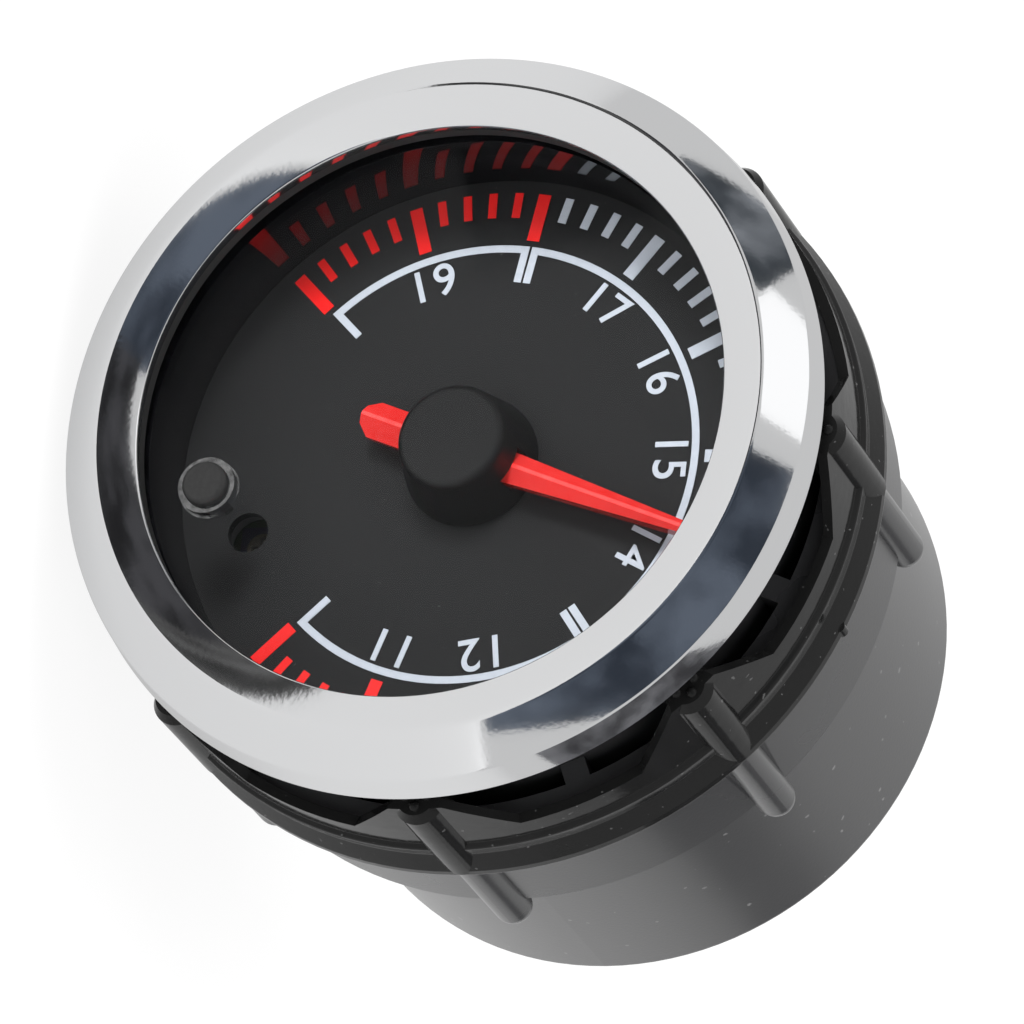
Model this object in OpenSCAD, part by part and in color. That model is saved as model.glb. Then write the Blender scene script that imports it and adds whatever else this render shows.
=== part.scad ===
// Air and fuel ratio gauge for a round hole in a panel.
// Each piece is drawn with its axis along Z and the dial looking along +Z, with Z = 0 at the
// rear face of the bezel, where the panel comes. seated() then turns it so that the dial faces
// -Y and its top is +Z. Heights are counted from that face, and what lies behind it is negative.

/* [Bezel] */
// Distance that the bezel reaches past the case's side
bezel_reach = 4.25; // [4:0.05:6]
// Distance that the side wall leans in to its front
bezel_lean = 0.3; // [0:0.05:0.8]
// Height of the side wall
bezel_side_h = 2.75; // [2.5:0.05:3]
// Distance of the crest from the case's side, outward
crest_reach = 0.8; // [0.6:0.05:1.2]
// Height of the crest
bezel_crest_h = 5.2; // [5:0.1:5.8]
// Radius that rounds the crest
crest_round = 0.6; // [0.3:0.1:0.9]
// Distance of the window's edge from the case's side, inward
window_rim = 2.5; // [2.2:0.05:3]
// Height of the window's edge
window_h = 4.25; // [4.1:0.05:4.4]
// Radius that rounds the window's edge
window_round = 0.25; // [0.15:0.05:0.35]
// Thickness of the bezel's wall
bezel_wall = 1.3; // [1:0.1:1.5]

/* [Lens] */
// Thickness of the lens
lens_t = 1.3; // [1:0.1:1.6]
// Depth of the lens's front below the window's lip
gasket_t = 1; // [0.8:0.1:1.2]
// Height of the boss above the lens
boss_rise = 0.85; // [0.6:0.05:1]
// Depth of the boss below the lens
boss_drop = 0.35; // [0.2:0.05:0.5]
// Diameter of the boss
boss_d = 4.6; // [4.3:0.1:5.4]
// Diameter of the plug
plug_d = 3.6; // [3:0.1:3.8]
// Height of the plug's head above the boss
plug_rise = 0.75; // [0.4:0.05:1]
// Distance of the plug's centre from the visor's wall
plug_inset = 5.15; // [4.6:0.05:5.5]
// Direction of the plug from three o'clock
plug_angle = -73.5; // [-76:0.5:-71]

/* [Case] */
// Diameter of the case, which passes through the panel
case_d = 52; // [51.6:0.1:52.3]
// Depth of the case behind the panel's face
case_l = 49.2; // [48.4:0.1:52]
// Wall of the case
case_wall = 1.7; // [1.5:0.1:1.8]
// Wall round the dial
dial_wall = 1.3; // [1.2:0.05:1.4]
// Wall round the rear cover
cover_wall = 1; // [0.8:0.1:1.2]
// Radius that rounds the rear edge
rear_round = 0.6; // [0.3:0.1:0.7]
// Thickness of the rear cover
cover_t = 1.8; // [1.5:0.1:2]

/* [Dial] */
// Depth of the dial's face
dial_depth = 6.7; // [6.4:0.1:6.9]
// Thickness of the dial
dial_t = 0.8; // [0.6:0.1:1]
// Thickness of the visor's wall
visor_wall = 0.85; // [0.7:0.05:1]
// Number of small divisions on the scale
divisions = 50; // [20:10:60]
// Angle swept by the scale
sweep = 270; // [240:5:270]
// Distance of the divisions' outer ends from the visor's wall
tick_margin = 1.05; // [0.8:0.05:1.8]
// Length of a main division
main_tick_l = 3.95; // [3:0.05:4.1]
// Length of a small division
small_tick_l = 2.1; // [1.5:0.05:2.6]
// Width of a main division
main_tick_w = 1.02; // [0.8:0.02:1.1]
// Width of a small division
small_tick_w = 0.68; // [0.5:0.02:0.8]
// Gap between the main divisions and the printed arc
arc_gap = 0.5; // [0.4:0.05:1.2]
// Width of the printed arc and its brackets
arc_w = 0.6; // [0.4:0.05:0.8]
// Length of a bracket, from the arc's outside
bracket_l = 3.05; // [2.3:0.05:3.7]

/* [Pointer] */
// Place of the pointer on the scale, as a share of the sweep
pointer_share = 0.577; // [0.2:0.001:0.8]
// Distance of the pointer's tip from the divisions' outer ends
tip_gap = 1.75; // [0.8:0.05:4.7]
// Reach of the pointer's tail
tail_l = 8.9; // [7.5:0.1:10]
// Width of the pointer at the hub
pointer_w = 3; // [2.4:0.1:3.2]
// Width of the pointer at its tip
pointer_tip_w = 0.9; // [0.6:0.1:1.2]
// Height of the pointer's section
pointer_h = 1.5; // [1.2:0.1:1.7]
// Diameter of the hub at its base
hub_base_d = 10.8; // [10:0.1:11.4]
// Diameter of the hub at its top
hub_top_d = 8.5; // [7.8:0.1:9.2]
// Height of the hub
hub_h = 5.2; // [4.8:0.1:5.5]
// Diameter of the pointer's shaft
shaft_d = 1.2; // [1:0.05:1.3]

/* [Mounting collar] */
// Distance of the sleeve's outside from the case's side
sleeve_reach = 3.25; // [3.1:0.05:3.4]
// Depth of the sleeve's rear end behind the panel's face
sleeve_rear = 24.5; // [23.5:0.1:26]
// Wall of the sleeve
sleeve_wall = 1.5; // [1.2:0.1:1.8]
// Number of ribs on the sleeve and of posts on the crown ring
rib_count = 8; // [6:1:10]
// Diameter of a rib
rib_d = 3.1; // [2.7:0.1:3.2]
// Depth of the ribs' and posts' axes below the sleeve's outside
rib_set = 0.15; // [0:0.05:0.3]
// Distance that a rib runs on behind the sleeve
rib_overhang = 1.5; // [1:0.1:2]
// Diameter of a post
post_d = 4; // [3.9:0.1:4.2]
// Depth of the posts' fronts
post_front = 2.4; // [2.1:0.1:2.8]
// Length of the taper at a post's front
post_taper = 0.9; // [0.4:0.1:1.2]
// Depth of the crown ring's front edge between the posts
crown_front = 7.7; // [7:0.1:8.2]
// Depth of the crown ring's rear edge
crown_rear = 14.6; // [14.2:0.1:16]
// Thickness of the crown ring's front wall
crown_wall = 0.85; // [0.7:0.05:1.1]
// Distance that the flange's lip stands out of the crown ring's wall
flange_w = 0.85; // [0.6:0.05:0.95]

/* [Movement] */
// Diameter of the bobbins' barrel
barrel_d = 15.8; // [15:0.1:16.2]
// Room between the windings and each end of the can
winding_room = 0.7; // [0.6:0.05:1.2]
// Thickness of a winding
coil_t = 1.1; // [0.9:0.1:1.2]
// Wall of the bobbin outside a coil's terminal
terminal_wall = 0.8; // [0.5:0.05:1]
// Diameter of the rotor magnet
rotor_d = 10; // [8:0.1:11]
// Thickness of the rotor magnet
rotor_t = 3; // [2:0.1:3.6]
// Thickness of the shield can's sheet
can_t = 0.6; // [0.5:0.05:0.8]

/* [Circuit] */
// Thickness of the lamp board
lamp_board_t = 1.2; // [1:0.1:1.2]
// Thickness of the main board
main_board_t = 1.6; // [1.2:0.1:1.6]
// Room behind the main board, to the case's rear end
rear_room = 10.2; // [9.8:0.1:13]
// Width of the connector
plug_shell_w = 15; // [14:0.1:16]
// Height of the connector
plug_shell_h = 8.4; // [8:0.1:9.4]
// Number of pins in the connector
pin_count = 4; // [3:1:4]

/* [Hidden] */
$fn = 72;

// Clearances and overruns
run_fit = 0.05;      // radial clearance of a part that turns or slides
push_fit = 0.02;     // radial clearance of a part that is pressed in
overrun = 1;         // how far a cut passes the face that it opens

// Radii of the bezel and of what it holds
case_r = case_d / 2;
bezel_r = case_r + bezel_reach;
crest_r = case_r + crest_reach;
window_r = case_r - window_rim;
lip_h = window_h - bezel_wall * 0.9;
lens_front = lip_h - gasket_t;
lens_back = lens_front - lens_t;
collar_r = case_r + bezel_wall;
bead_r = 0.25;
bead_h = lens_front / 2;
dial_bore_r = case_r - dial_wall;
lens_r = dial_bore_r - run_fit;
visor_outer_r = dial_bore_r - run_fit;
visor_inner_r = visor_outer_r - visor_wall;
gasket_inner_r = window_r + window_round;

// Heights of the dial's stack, from the front
dial_front = -dial_depth;
dial_back = dial_front - dial_t;
guide_t = 2;
guide_back = dial_back - guide_t;
ledge_step = 1.4;
guide_bore_r = dial_bore_r - ledge_step;
led_room = 2.5;
lamp_front = guide_back - led_room;
lamp_back = lamp_front - lamp_board_t;
shelf_t = 1.8;
shelf_r = guide_bore_r - ledge_step;
mark_t = 0.06;
shaft_hole_d = 2.8;
service_d = 3.3;
service_play = 0.6;
plug_spot = (visor_inner_r - plug_inset) * [cos(plug_angle), sin(plug_angle)];
tick_outer_r = visor_inner_r - tick_margin;
arc_outer_r = tick_outer_r - main_tick_l - arc_gap;
bracket_inner_r = arc_outer_r - bracket_l;
tick_step = sweep / divisions;
scale_start = 90 + sweep / 2;
main_every = 5;
lean_share = 0.2;
rich_share = 0.7;
bracket_gap = 1.3;

// Rear of the case
case_bore_r = case_r - case_wall;
cover_bore_r = case_r - cover_wall;
rear_z = -case_l;
cover_ledge = rear_z + cover_t + rear_round / 2;
board_gap = 2;
board_back = rear_z + rear_room;
board_front = board_back + main_board_t;

// Screws and their bosses
pilot_r = 0.85;
shank_r = pilot_r - run_fit;
pilot_depth = 6;
shank_l = 5;
head_r = 1.7;
head_h = 1.1;
drive_r = 0.9;
drive_depth = 0.6;
screw_play = 0.25;
boss_r = 2.5;
boss_inset = 3.9;
boss_place_r = case_bore_r - boss_inset;
boss_count = 3;
boss_turn = -8;
web_w = 2;
cover_boss_r = 2.2;
cover_boss_inset = 3.1;
cover_boss_place_r = case_bore_r - cover_boss_inset;
cover_boss_l = 6;
cover_boss_turn = 30;

// Pointer and hub
hub_base = dial_front + 0.6 * service_play;
hub_top = hub_base + hub_h;
hub_round = 0.7;
pointer_mid = hub_base + hub_h * 0.42;
pointer_l = tick_outer_r - tip_gap;
pointer_angle = scale_start - pointer_share * sweep;
pointer_skin = 0.3;
shaft_r = shaft_d / 2;
hub_cap = 1.2;
shaft_top = hub_top - hub_cap;

// Movement
can_front = lamp_back;
can_back = board_front + board_gap;
pole_gap = 0.1;
barrel_mid = (can_front + can_back) / 2;
barrel_r = barrel_d / 2;
coil_play = 0.1;
barrel_l = can_front - can_back - 2 * (2 * coil_t + 2 * coil_play + can_t + winding_room);
bush_r = 1.5;
bush_gap = bush_r + 2 * push_fit;
terminal_r = 0.3;
terminal_place = (barrel_r - terminal_wall - terminal_r) / sqrt(2);
coil_w = terminal_place - 2 * terminal_r - bush_gap;
inner_half = barrel_r + coil_play;
inner_half_h = barrel_l / 2 + coil_play;
outer_half = inner_half + coil_t + coil_play;
outer_half_h = inner_half_h + coil_t + coil_play;
can_inner_r = norm([outer_half + coil_t, bush_gap + coil_w]) + 3 * coil_play;
can_r = can_inner_r + can_t;
rotor_room = 0.4;
rotor_rise = rotor_t / 2 + rotor_room;
tab_r = 2.4;
tab_place_r = can_r + tab_r - can_t;
tab_t = 1.6;
tab_turn = 90;
terminal_tail = 1.4;
shaft_tail = 1.2;
bearing_floor = 0.6;
shaft_back = barrel_mid - barrel_l / 2 - shaft_tail;
bearing_back = shaft_back - bearing_floor;

// Circuit
lamp_board_r = guide_bore_r - run_fit;
led_count = 8;
led_place_r = 10;
led_w = 2.8;
led_h = 1.9;
board_play = 1.2;
main_board_r = case_bore_r - board_play;
notch_r = cover_boss_r + screw_play;
link_pins = 6;
pin_pitch = 2.54;
link_pin_w = 0.64;
link_gap = 0.55;
link_place = can_r + link_gap + pin_pitch / 2;
link_base_h = 2.5;
trimmer_w = 4;
trimmer_h = 1.5;
trimmer_rotor_r = 1.25;
trimmer_rotor_h = 1;
trimmer_slot = 0.4;
chip_w = 5.3;
chip_l = 10;
chip_place = 9.4;
chip_h = 1.8;
chip_legs = 8;
chip_leg_w = 0.4;
chip_leg_l = 1.1;
regulator_w = 6.6;
regulator_l = 6;
regulator_h = 2.2;
regulator_leg_l = 1.4;
regulator_place = 12;
tab_share = 0.8;
capacitor_r = 3.1;
capacitor_h = 5.8;
capacitor_place = 11.2;
capacitor_gap = 1;
plug_shell_wall = 1;
plug_shell_place = 10;
plug_floor = 1.8;
plug_pin_w = 0.8;
plug_pin_pitch = 3;
plug_pin_end = 4.2;
shell_play = 0.2;

// Mounting collar
sleeve_r = case_r + sleeve_reach;
sleeve_front = crown_front + crown_wall;
land_r = case_r + run_fit;
sleeve_lip = 1.6;
land_w = 2;
rib_r = rib_d / 2;
rib_place_r = sleeve_r - rib_set;
rib_end = sleeve_rear + rib_overhang;
post_r = post_d / 2;
post_rear = crown_rear - post_r / 4;
socket_r = rib_r + run_fit;
crown_inner_r = sleeve_r + run_fit;
crown_r = crown_inner_r + crown_wall;
flange_r = crown_r + flange_w;
flange_set = 2.2;
flange_front = crown_front + flange_set;
ridge_w = 0.4;
ridge_l = 1.4;
lip_l = 0.9;
lip_round = 0.25;
gusset_front = post_front;
gusset_spread = 6.5;
valley_half = crown_r * sin(180 / rib_count) - gusset_spread;
valley_top_half = crown_r * sin(180 / rib_count) - post_r;
bump_r = 0.42;
bump_place = 0.85;
nub_r = 0.5;
nub_angle = 68;

// Points of an arc that rounds the corner b between a and c
function unit(v) = v / norm(v);
function rounded(a, b, c, r, steps = 8) =
    let (u = unit(a - b),
         w = unit(c - b),
         half = acos(u * w) / 2,
         m = b + unit(u + w) * r / sin(half),
         p = b + u * r / tan(half) - m,
         q = b + w * r / tan(half) - m,
         turn = (180 - 2 * half) * sign(cross(p, q)))
    [for (i = [0:steps]) let (g = turn * i / steps) m + turned(p, g)];
function turned(p, g) = [p.x * cos(g) - p.y * sin(g), p.x * sin(g) + p.y * cos(g)];
function tick_angle(i) = scale_start - tick_step * i;
function is_main(i) = i % main_every == 0;
function is_red(i) = i <= divisions * lean_share || i >= divisions * rich_share;

// Placing helpers
module seated() { rotate([90, 0, 0]) children(); }
module at_height(z) { translate([0, 0, z]) children(); }
module around(count, r, turn = 0) {
    for (i = [0:count - 1]) rotate(turn + 360 * i / count) translate([r, 0, 0]) children();
}
module rod(r, from, to) { at_height(min(from, to)) cylinder(r = r, h = abs(to - from)); }
module tube(r, bore, from, to) {
    difference() {
        rod(r, from, to);
        rod(bore, min(from, to) - overrun, max(from, to) + overrun);
    }
}
module slab(w, l, from, to) { translate([-w / 2, -l / 2, min(from, to)]) cube([w, l, abs(to - from)]); }
module at_plug() { translate([plug_spot.x, plug_spot.y, 0]) children(); }

// A pan head screw with its head's seat at height z, its shank going toward the rear
module screw(z) {
    difference() {
        union() {
            rod(shank_r, z - shank_l, z);
            at_height(z) rotate_extrude() polygon([
                [0, 0], [head_r, 0],
                each rounded([head_r, 0], [head_r, head_h], [0, head_h], head_h * 0.5), [0, head_h]]);
        }
        for (g = [0, 90]) rotate(g) slab(2 * drive_r, drive_depth, z + head_h - drive_depth, z + head_h + overrun);
    }
}

// Front of the gauge
module bezel_ring() color("silver") seated() {
    rear = [bezel_r, 0];
    side = [bezel_r - bezel_lean, bezel_side_h];
    crest = [crest_r, bezel_crest_h];
    edge = [window_r, window_h];
    lip = [gasket_inner_r, lip_h];
    skirt = bezel_r - bezel_wall;
    difference() {
        rotate_extrude($fn = 144) polygon([
            rear, each rounded(rear, side, crest, crest_round / 2, 4),
            each rounded(side, crest, edge, crest_round), each rounded(crest, edge, lip, window_round, 5),
            lip, [case_r + run_fit, lip_h], [case_r + run_fit, 0], [collar_r, 0],
            [collar_r, lip_h - bezel_wall / 4], [collar_r + bezel_wall / 2, lip_h],
            [side.x - bezel_wall, bezel_side_h - bezel_wall / 2], [skirt, 0]]);
        rotate_extrude() translate([case_r, bead_h]) circle(r = bead_r + run_fit, $fn = 24);
    }
}

module lens_gasket() color("#101010") seated()
    tube(case_r - run_fit, gasket_inner_r, lens_front, lip_h);

module lens() color("#e8f0f4", 0.35) seated() difference() {
    union() {
        rod(lens_r, lens_back, lens_front);
        at_plug() rod(boss_d / 2, lens_back - boss_drop, lens_front + boss_rise);
    }
    at_plug() rod(plug_d / 2 + push_fit, lens_back - boss_drop - overrun, lens_front + boss_rise + overrun);
}

module lens_plug() color("#1c1c1c") seated() at_plug() {
    foot = lens_back - boss_drop;
    head = lens_front + boss_rise + plug_rise;
    rotate_extrude() polygon([
        [0, foot], [plug_d / 2, foot],
        each rounded([plug_d / 2, foot], [plug_d / 2, head], [0, head], plug_rise * 0.6, 5), [0, head]]);
}

module visor_ring() color("#0c0c0c") seated()
    tube(visor_outer_r, visor_inner_r, dial_front, lens_back);

module dial_plate() color("#3a3a3c") seated() difference() {
    rod(dial_bore_r - run_fit, dial_back, dial_front);
    rod(shaft_hole_d / 2, dial_back - overrun, dial_front + overrun);
    at_plug() rod(service_d / 2, dial_back - overrun, dial_front + overrun);
}

module tick(i) {
    l = is_main(i) ? main_tick_l : small_tick_l;
    w = is_main(i) ? main_tick_w : small_tick_w;
    rotate(tick_angle(i)) translate([tick_outer_r - l, -w / 2, dial_front]) cube([l, w, mark_t]);
}

module scale_arc(first, last) {
    from = tick_angle(first);
    to = tick_angle(last);
    at_height(dial_front) rotate(to) rotate_extrude(angle = from - to, $fn = 144)
        translate([arc_outer_r - arc_w, 0]) square([arc_w, mark_t]);
    for (end = [[from, -1], [to, 0]]) rotate(end[0])
        translate([bracket_inner_r, end[1] * arc_w, dial_front])
            cube([arc_outer_r - bracket_inner_r - arc_w / 4, arc_w, mark_t]);
}

module scale_marks_white() color("#c8ccd6") seated() {
    gap = bracket_gap / main_tick_l / tick_step;
    lean = divisions * lean_share;
    rich = divisions * rich_share;
    for (i = [0:divisions]) if (!is_red(i)) tick(i);
    scale_arc(0, lean - gap);
    scale_arc(lean + gap, rich - gap);
    scale_arc(rich + gap, divisions);
}

module scale_marks_red() color("#d8202c") seated()
    for (i = [0:divisions]) if (is_red(i)) tick(i);

module light_guide() color("#f2f4f6", 0.7) seated() difference() {
    rod(dial_bore_r - run_fit, guide_back, dial_back);
    rod(shaft_hole_d / 2 + service_play, guide_back - overrun, dial_back + overrun);
    at_plug() rod(service_d / 2 + service_play, guide_back - overrun, dial_back + overrun);
}

// What turns with the shaft
module pointer_outline(reach, w_root, w_tip, chamfer) {
    polygon([[0, -w_root / 2], [reach - chamfer, -w_tip / 2], [reach, -w_tip / 2 + chamfer],
             [reach, w_tip / 2 - chamfer], [reach - chamfer, w_tip / 2], [0, w_root / 2]]);
}

module pointer_arm(reach, w_root, w_tip, chamfer) {
    foot = pointer_mid - pointer_h / 2;
    intersection() {
        at_height(foot) linear_extrude(pointer_h) pointer_outline(reach, w_root, w_tip, chamfer);
        rotate([90, 0, 90]) linear_extrude(reach) polygon([
            [-w_root / 2, foot], [w_root / 2, foot], [w_root / 2, foot + pointer_h / 3],
            [pointer_skin / 2, foot + pointer_h], [-pointer_skin / 2, foot + pointer_h],
            [-w_root / 2, foot + pointer_h / 3]]);
    }
}

module pointer() color("#f03020") seated() rotate(pointer_angle) difference() {
    union() {
        pointer_arm(pointer_l, pointer_w, pointer_tip_w, pointer_tip_w / 3);
        rotate(180) pointer_arm(tail_l, pointer_w, pointer_w, pointer_w / 4);
    }
    rod(shaft_r + push_fit, dial_front, hub_top);
}

module pointer_hub() color("#161616") seated() rotate(pointer_angle) difference() {
    base = [hub_base_d / 2, hub_base];
    top = [hub_top_d / 2, hub_top];
    rotate_extrude() polygon([[0, hub_base], base, each rounded(base, top, [0, hub_top], hub_round),
                              [0, hub_top]]);
    rod(shaft_r + push_fit, hub_base - overrun, shaft_top);
    slab(hub_base_d + overrun, pointer_w + 2 * push_fit,
         pointer_mid - pointer_h / 2 - push_fit, pointer_mid + pointer_h / 2 + push_fit);
}

module pointer_shaft() color("#b8bcc0") seated() rod(shaft_r, shaft_back, shaft_top);

module rotor_magnet() color("#4a4a50") seated()
    tube(rotor_d / 2, shaft_r + push_fit, barrel_mid - rotor_t / 2, barrel_mid + rotor_t / 2);

// Movement
module upper_bearing() color("#c8a24a") seated()
    tube(bush_r, shaft_r + run_fit, barrel_mid + rotor_rise + can_t, lamp_front);

module lower_bearing() color("#c8a24a") seated() difference() {
    rod(bush_r, bearing_back, barrel_mid - rotor_rise - can_t);
    rod(shaft_r + run_fit, shaft_back - pole_gap, barrel_mid);
}

module bobbin(side) {
    end = barrel_mid + side * barrel_l / 2;
    seam = barrel_mid + side * pole_gap / 2;
    roof = barrel_mid + side * rotor_rise;
    difference() {
        rod(barrel_r, seam, end);
        rod(rotor_d / 2 + rotor_room, barrel_mid - side * overrun, roof);
        rod(bush_r + push_fit, roof - side * overrun, end + side * overrun);
        if (side < 0) for (x = [-1, 1], y = [-1, 1]) translate([x, y, 0] * terminal_place)
            rod(terminal_r + push_fit, end - overrun, end + terminal_tail);
    }
}

module upper_bobbin() color("#e6dfc8") seated() bobbin(1);
module lower_bobbin() color("#e6dfc8") seated() bobbin(-1);

module winding(half, half_h) {
    for (side = [0, 180]) rotate(side) translate([0, bush_gap + coil_w, barrel_mid]) rotate([90, 0, 0])
        linear_extrude(coil_w) difference() {
            square([2 * (half + coil_t), 2 * (half_h + coil_t)], center = true);
            square([2 * half, 2 * half_h], center = true);
        }
}

module inner_coil() color("#b4622c") seated() winding(inner_half, inner_half_h);
module outer_coil() color("#b4622c") seated() rotate(90) winding(outer_half, outer_half_h);

module shield_can() color("#a8acb0") seated() difference() {
    union() {
        rod(can_r, can_back, can_front);
        for (side = [0, 180]) rotate(tab_turn + side) hull() {
            translate([tab_place_r, 0, 0]) rod(tab_r, can_front - tab_t, can_front);
            translate([can_r - tab_r, 0, 0]) rod(tab_r, can_front - tab_t, can_front);
        }
    }
    rod(can_inner_r, can_back + can_t, can_front + overrun);
    rod(bush_r + push_fit, can_back - overrun, can_front);
    for (side = [0, 180]) rotate(tab_turn + side) translate([tab_place_r, 0, 0])
        rod(pilot_r, can_front - tab_t - overrun, can_front + overrun);
    for (x = [-1, 1], y = [-1, 1]) translate([x, y, 0] * terminal_place)
        rod(terminal_r + service_play, can_back - overrun, can_front);
}

module movement_screws() color("#c0c4c8") seated()
    for (side = [0, 180]) rotate(tab_turn + side) translate([tab_place_r, 0, 0]) screw(lamp_front);

module coil_terminals() color("#d8c070") seated()
    for (x = [-1, 1], y = [-1, 1]) translate([x, y, 0] * terminal_place)
        rod(terminal_r, board_back - terminal_tail, barrel_mid - barrel_l / 2 + terminal_tail);

// Circuit in front of the movement
module lamp_board() color("#1c5a34") seated() difference() {
    rod(lamp_board_r, lamp_back, lamp_front);
    rod(bush_r + push_fit, lamp_back - overrun, lamp_front + overrun);
    for (side = [0, 180]) rotate(tab_turn + side) translate([tab_place_r, 0, 0])
        rod(shank_r + screw_play, lamp_back - overrun, lamp_front + overrun);
    around(boss_count, boss_place_r, boss_turn) rod(shank_r + screw_play, lamp_back - overrun, lamp_front + overrun);
    at_link() slab(link_pin_w + 2 * push_fit, link_pin_w + 2 * push_fit, lamp_back - overrun, lamp_front + overrun);
}

module dial_leds() color("#f4f0dc") seated()
    around(led_count, led_place_r, 180 / led_count) slab(led_w, led_w, lamp_front, lamp_front + led_h);

module trimmer_body() color("#3c6ea8") seated() at_plug() difference() {
    slab(trimmer_w, trimmer_w, lamp_front, lamp_front + trimmer_h);
    rod(trimmer_rotor_r + run_fit, lamp_front + trimmer_h - trimmer_rotor_h / 2, lamp_front + trimmer_h + overrun);
}

module trimmer_rotor() color("#d9d4c4") seated() at_plug() difference() {
    floor = lamp_front + trimmer_h - trimmer_rotor_h / 2;
    rod(trimmer_rotor_r, floor, floor + trimmer_rotor_h);
    for (g = [0, 90]) rotate(g) slab(1.5 * trimmer_rotor_r, trimmer_slot,
                                     floor + trimmer_rotor_h / 2, floor + trimmer_rotor_h + overrun);
}

module lamp_board_screws() color("#c0c4c8") seated()
    around(boss_count, boss_place_r, boss_turn) screw(lamp_front);

module at_link() {
    for (i = [0:link_pins - 1])
        translate([-link_place, (i - (link_pins - 1) / 2) * pin_pitch, 0]) children();
}

module board_link() color("#202020") seated() {
    difference() {
        translate([-link_place, 0, 0])
            slab(pin_pitch, link_pins * pin_pitch, lamp_back - link_base_h, lamp_back);
        at_link() slab(link_pin_w, link_pin_w, lamp_back - link_base_h - overrun, lamp_back + overrun);
    }
    at_link() slab(link_pin_w, link_pin_w, board_back - terminal_tail, lamp_front + link_pin_w);
}

// Circuit behind the movement
module main_board() color("#1c5a34") seated() difference() {
    rod(main_board_r, board_back, board_front);
    around(boss_count, boss_place_r, boss_turn) rod(shank_r + screw_play, board_back - overrun, board_front + overrun);
    around(boss_count, cover_boss_place_r, cover_boss_turn) rod(notch_r, board_back - overrun, board_front + overrun);
    around(boss_count, cover_boss_place_r + notch_r, cover_boss_turn)
        slab(2 * notch_r, 2 * notch_r, board_back - overrun, board_front + overrun);
    at_link() slab(link_pin_w + 2 * push_fit, link_pin_w + 2 * push_fit, board_back - overrun, board_front + overrun);
    for (x = [-1, 1], y = [-1, 1]) translate([x, y, 0] * terminal_place)
        rod(terminal_r + push_fit, board_back - overrun, board_front + overrun);
    at_pins() slab(plug_pin_w + 2 * push_fit, plug_pin_w + 2 * push_fit, board_back - overrun, board_front + overrun);
}

module driver_chip() color("#181818") seated() translate([-chip_place, 0, 0]) {
    slab(chip_w, chip_l, board_back, board_back - chip_h);
    for (i = [0:chip_legs - 1]) translate([0, (i - (chip_legs - 1) / 2) * chip_l / chip_legs, 0])
        slab(chip_w + 2 * chip_leg_l, chip_leg_w, board_back, board_back - chip_leg_w);
}

module capacitors() color("#27406a") seated()
    for (y = [-1, 1]) translate([capacitor_place, y * (capacitor_r + capacitor_gap / 2), 0])
        rod(capacitor_r, board_back, board_back - capacitor_h);

module regulator() color("#202022") seated() translate([0, regulator_place, 0]) {
    slab(regulator_w, regulator_l, board_back, board_back - regulator_h);
    translate([0, regulator_l / 2, 0]) slab(regulator_w * tab_share, 2 * regulator_leg_l, board_back, board_back - chip_leg_w);
    for (i = [-1:1]) translate([i * regulator_w / 3, -regulator_l / 2, 0])
        slab(2 * chip_leg_w, 2 * regulator_leg_l, board_back, board_back - chip_leg_w);
}

module main_board_screws() color("#c0c4c8") seated()
    around(boss_count, boss_place_r, boss_turn) translate([0, 0, board_back]) rotate([180, 0, 0]) screw(0);

// Connector
module at_pins() {
    for (i = [0:pin_count - 1])
        translate([(i - (pin_count - 1) / 2) * plug_pin_pitch, -plug_shell_place, 0]) children();
}

module connector_shell() color("#141414") seated() difference() {
    translate([0, -plug_shell_place, 0]) slab(plug_shell_w, plug_shell_h, rear_z, board_back);
    translate([0, -plug_shell_place, 0]) slab(plug_shell_w - 2 * plug_shell_wall, plug_shell_h - 2 * plug_shell_wall,
                                    rear_z - overrun, board_back - plug_floor);
    translate([0, plug_shell_h / 2 - plug_shell_place, 0])
        slab(plug_shell_w / 3, 3 * plug_shell_wall, rear_z - overrun, rear_z + 2 * cover_t);
    at_pins() slab(plug_pin_w + 2 * push_fit, plug_pin_w + 2 * push_fit, rear_z, board_back + overrun);
}

module connector_pins() color("#c8ccd0") seated()
    at_pins() slab(plug_pin_w, plug_pin_w, rear_z + plug_pin_end, board_front + plug_pin_w);

// Case
module case_profile() {
    rear = [case_r, rear_z];
    polygon([each rounded([case_r, lens_front], rear, [cover_bore_r, rear_z], rear_round, 6),
             [cover_bore_r, rear_z], [cover_bore_r, cover_ledge], [case_bore_r, cover_ledge],
             [case_bore_r, lamp_back - shelf_t], [shelf_r, lamp_back - shelf_t], [shelf_r, lamp_back],
             [guide_bore_r, lamp_back], [guide_bore_r, guide_back], [dial_bore_r, guide_back],
             [dial_bore_r, lens_front], [case_r, lens_front]]);
}

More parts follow.
